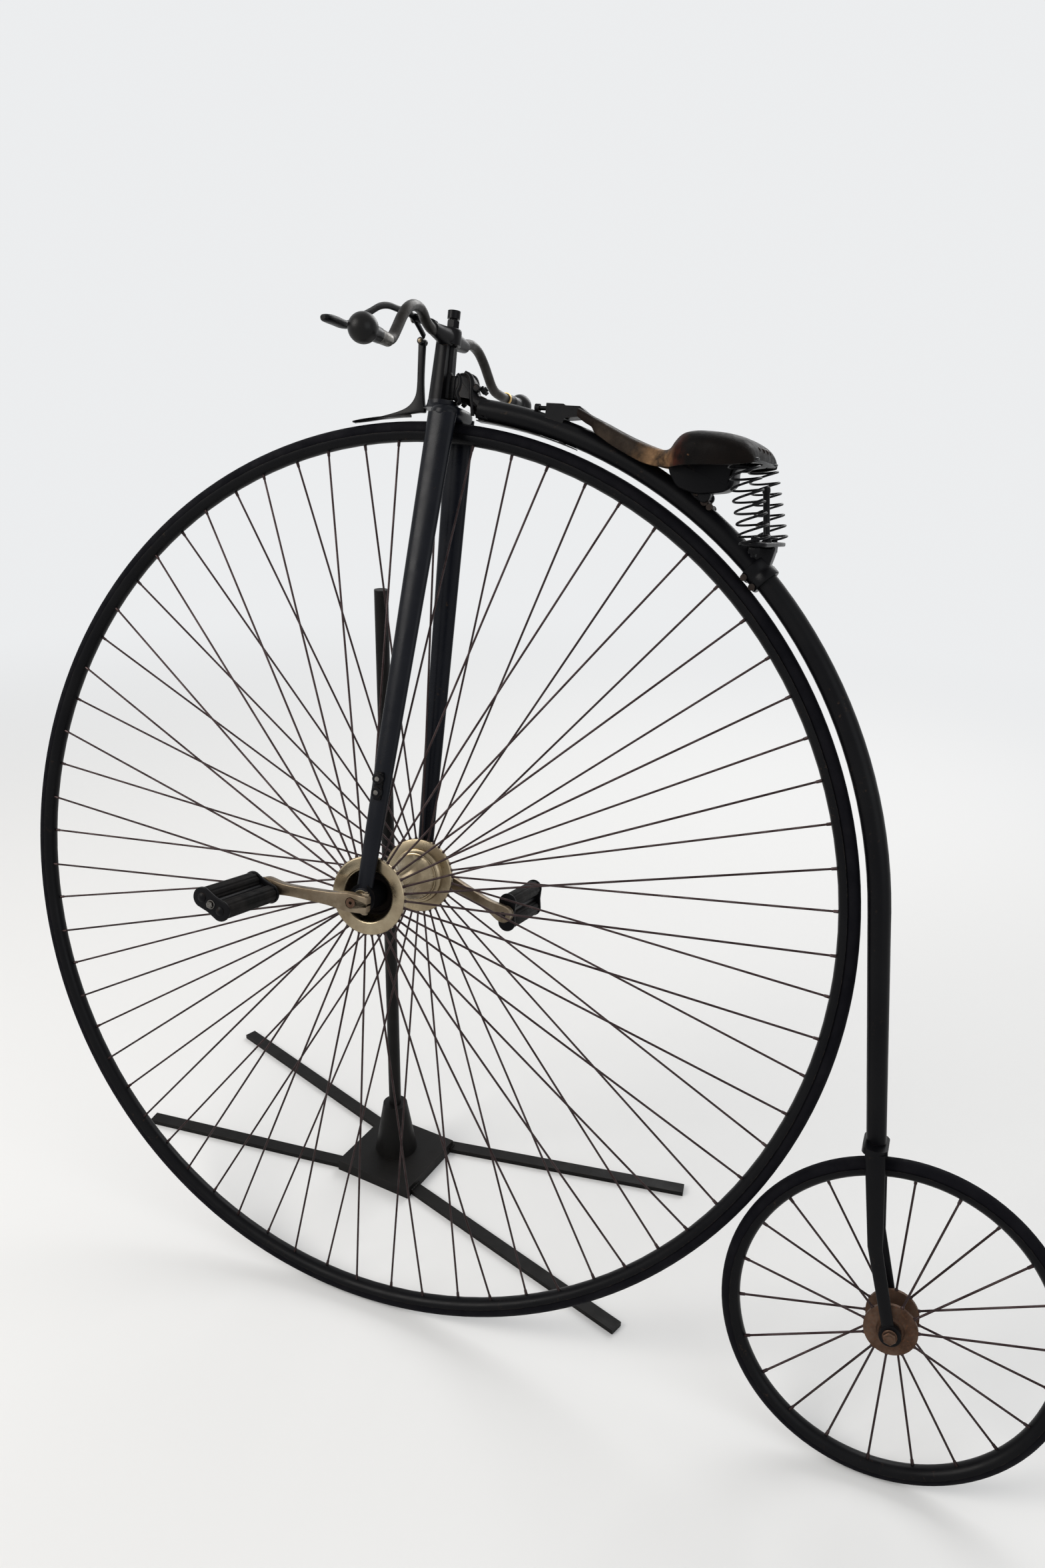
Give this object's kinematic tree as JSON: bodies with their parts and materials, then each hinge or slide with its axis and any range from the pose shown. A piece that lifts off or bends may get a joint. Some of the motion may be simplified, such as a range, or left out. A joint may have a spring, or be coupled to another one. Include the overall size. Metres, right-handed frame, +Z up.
{
  "type": "penny farthing bicycle on its display stand",
  "caption": "High-wheel bicycle with a large spoked front wheel and a small rear wheel, leaning on the post of its own floor stand.",
  "frame": {"origin": "middle of the underside of the stand's foot plate, on the floor", "axes": "+X towards the small rear wheel, +Y to the rider's right, +Z up; the bicycle itself leans 14 degrees towards +Y"},
  "size_m": [1.654, 0.6958, 1.437],
  "materials": {
    "black_enamel": "old gloss black enamel, chipped at the edges",
    "stand_paint": "satin black paint",
    "bare_steel": "old steel, its plating worn brown",
    "worn_nickel": "yellowed nickel plate",
    "spoke_steel": "dull steel wire",
    "rusty_steel": "brown surface rust",
    "tyre_rubber": "solid black rubber, matt",
    "pedal_rubber": "worn grey-black rubber",
    "black_grip": "turned wood, polished black",
    "saddle_leather": "dark brown leather, dry and worn"
  },
  "bodies": {
    "frame": {"stand_plate": "stand_paint", "stand_socket": "stand_paint", "stand_post": "stand_paint", "stand_legs": "stand_paint", "backbone": "black_enamel", "neck": "black_enamel", "mudguard": "black_enamel", "rear_fork": "black_enamel", "rear_axle": "rusty_steel", "saddle_clip": "black_enamel", "saddle_leather": "saddle_leather", "saddle_frame": "black_enamel", "left_saddle_spring": "black_enamel", "right_saddle_spring": "black_enamel", "spring_clamp": "black_enamel"},
    "steering": {"fork": "black_enamel", "left_fork_bearing": "black_enamel", "right_fork_bearing": "black_enamel", "steering_head": "black_enamel", "head_bolt": "black_enamel", "handlebar": "bare_steel", "left_ferrule": "worn_nickel", "right_ferrule": "black_enamel", "left_grip": "black_grip", "right_grip": "black_grip", "brake_spoon": "black_enamel", "brake_lever": "black_enamel", "lamp_bracket": "black_enamel"},
    "front_wheel": {"front_tyre": "tyre_rubber", "front_rim": "black_enamel", "front_spokes": "spoke_steel", "front_hub": "worn_nickel", "front_axle": "bare_steel", "left_crank": "bare_steel", "right_crank": "bare_steel"},
    "left_pedal": {"left_pedal": "black_enamel", "left_pedal_rubbers": "pedal_rubber"},
    "right_pedal": {"right_pedal": "black_enamel", "right_pedal_rubbers": "pedal_rubber"},
    "rear_wheel": {"rear_tyre": "tyre_rubber", "rear_rim": "black_enamel", "rear_hub": "rusty_steel", "rear_spokes": "spoke_steel"}
  },
  "joints": [
    {"name": "steering_turn", "type": "hinge", "parent": "frame", "child": "steering", "pos_m": [0.1, 0.01451, 1.30052], "axis": [0, 0.2419, 0.9703], "range_deg": [0, 35]},
    {"name": "front_wheel_spin", "type": "hinge", "parent": "steering", "child": "front_wheel", "pos_m": [0.092, -0.14999, 0.64072], "axis": [0, 0.9703, -0.2419], "range_deg": [-129, 88]},
    {"name": "left_pedal_spin", "type": "hinge", "parent": "front_wheel", "child": "left_pedal", "pos_m": [-0.04497, -0.27877, 0.66987], "axis": [0, 0.9703, -0.2419], "continuous": true},
    {"name": "right_pedal_spin", "type": "hinge", "parent": "front_wheel", "child": "right_pedal", "pos_m": [0.22074, -0.03325, 0.56332], "axis": [0, 0.9703, -0.2419], "continuous": true},
    {"name": "rear_wheel_spin", "type": "hinge", "parent": "frame", "child": "rear_wheel", "pos_m": [0.864, -0.25595, 0.21573], "axis": [0, 0.9703, -0.2419], "continuous": true}
  ]
}
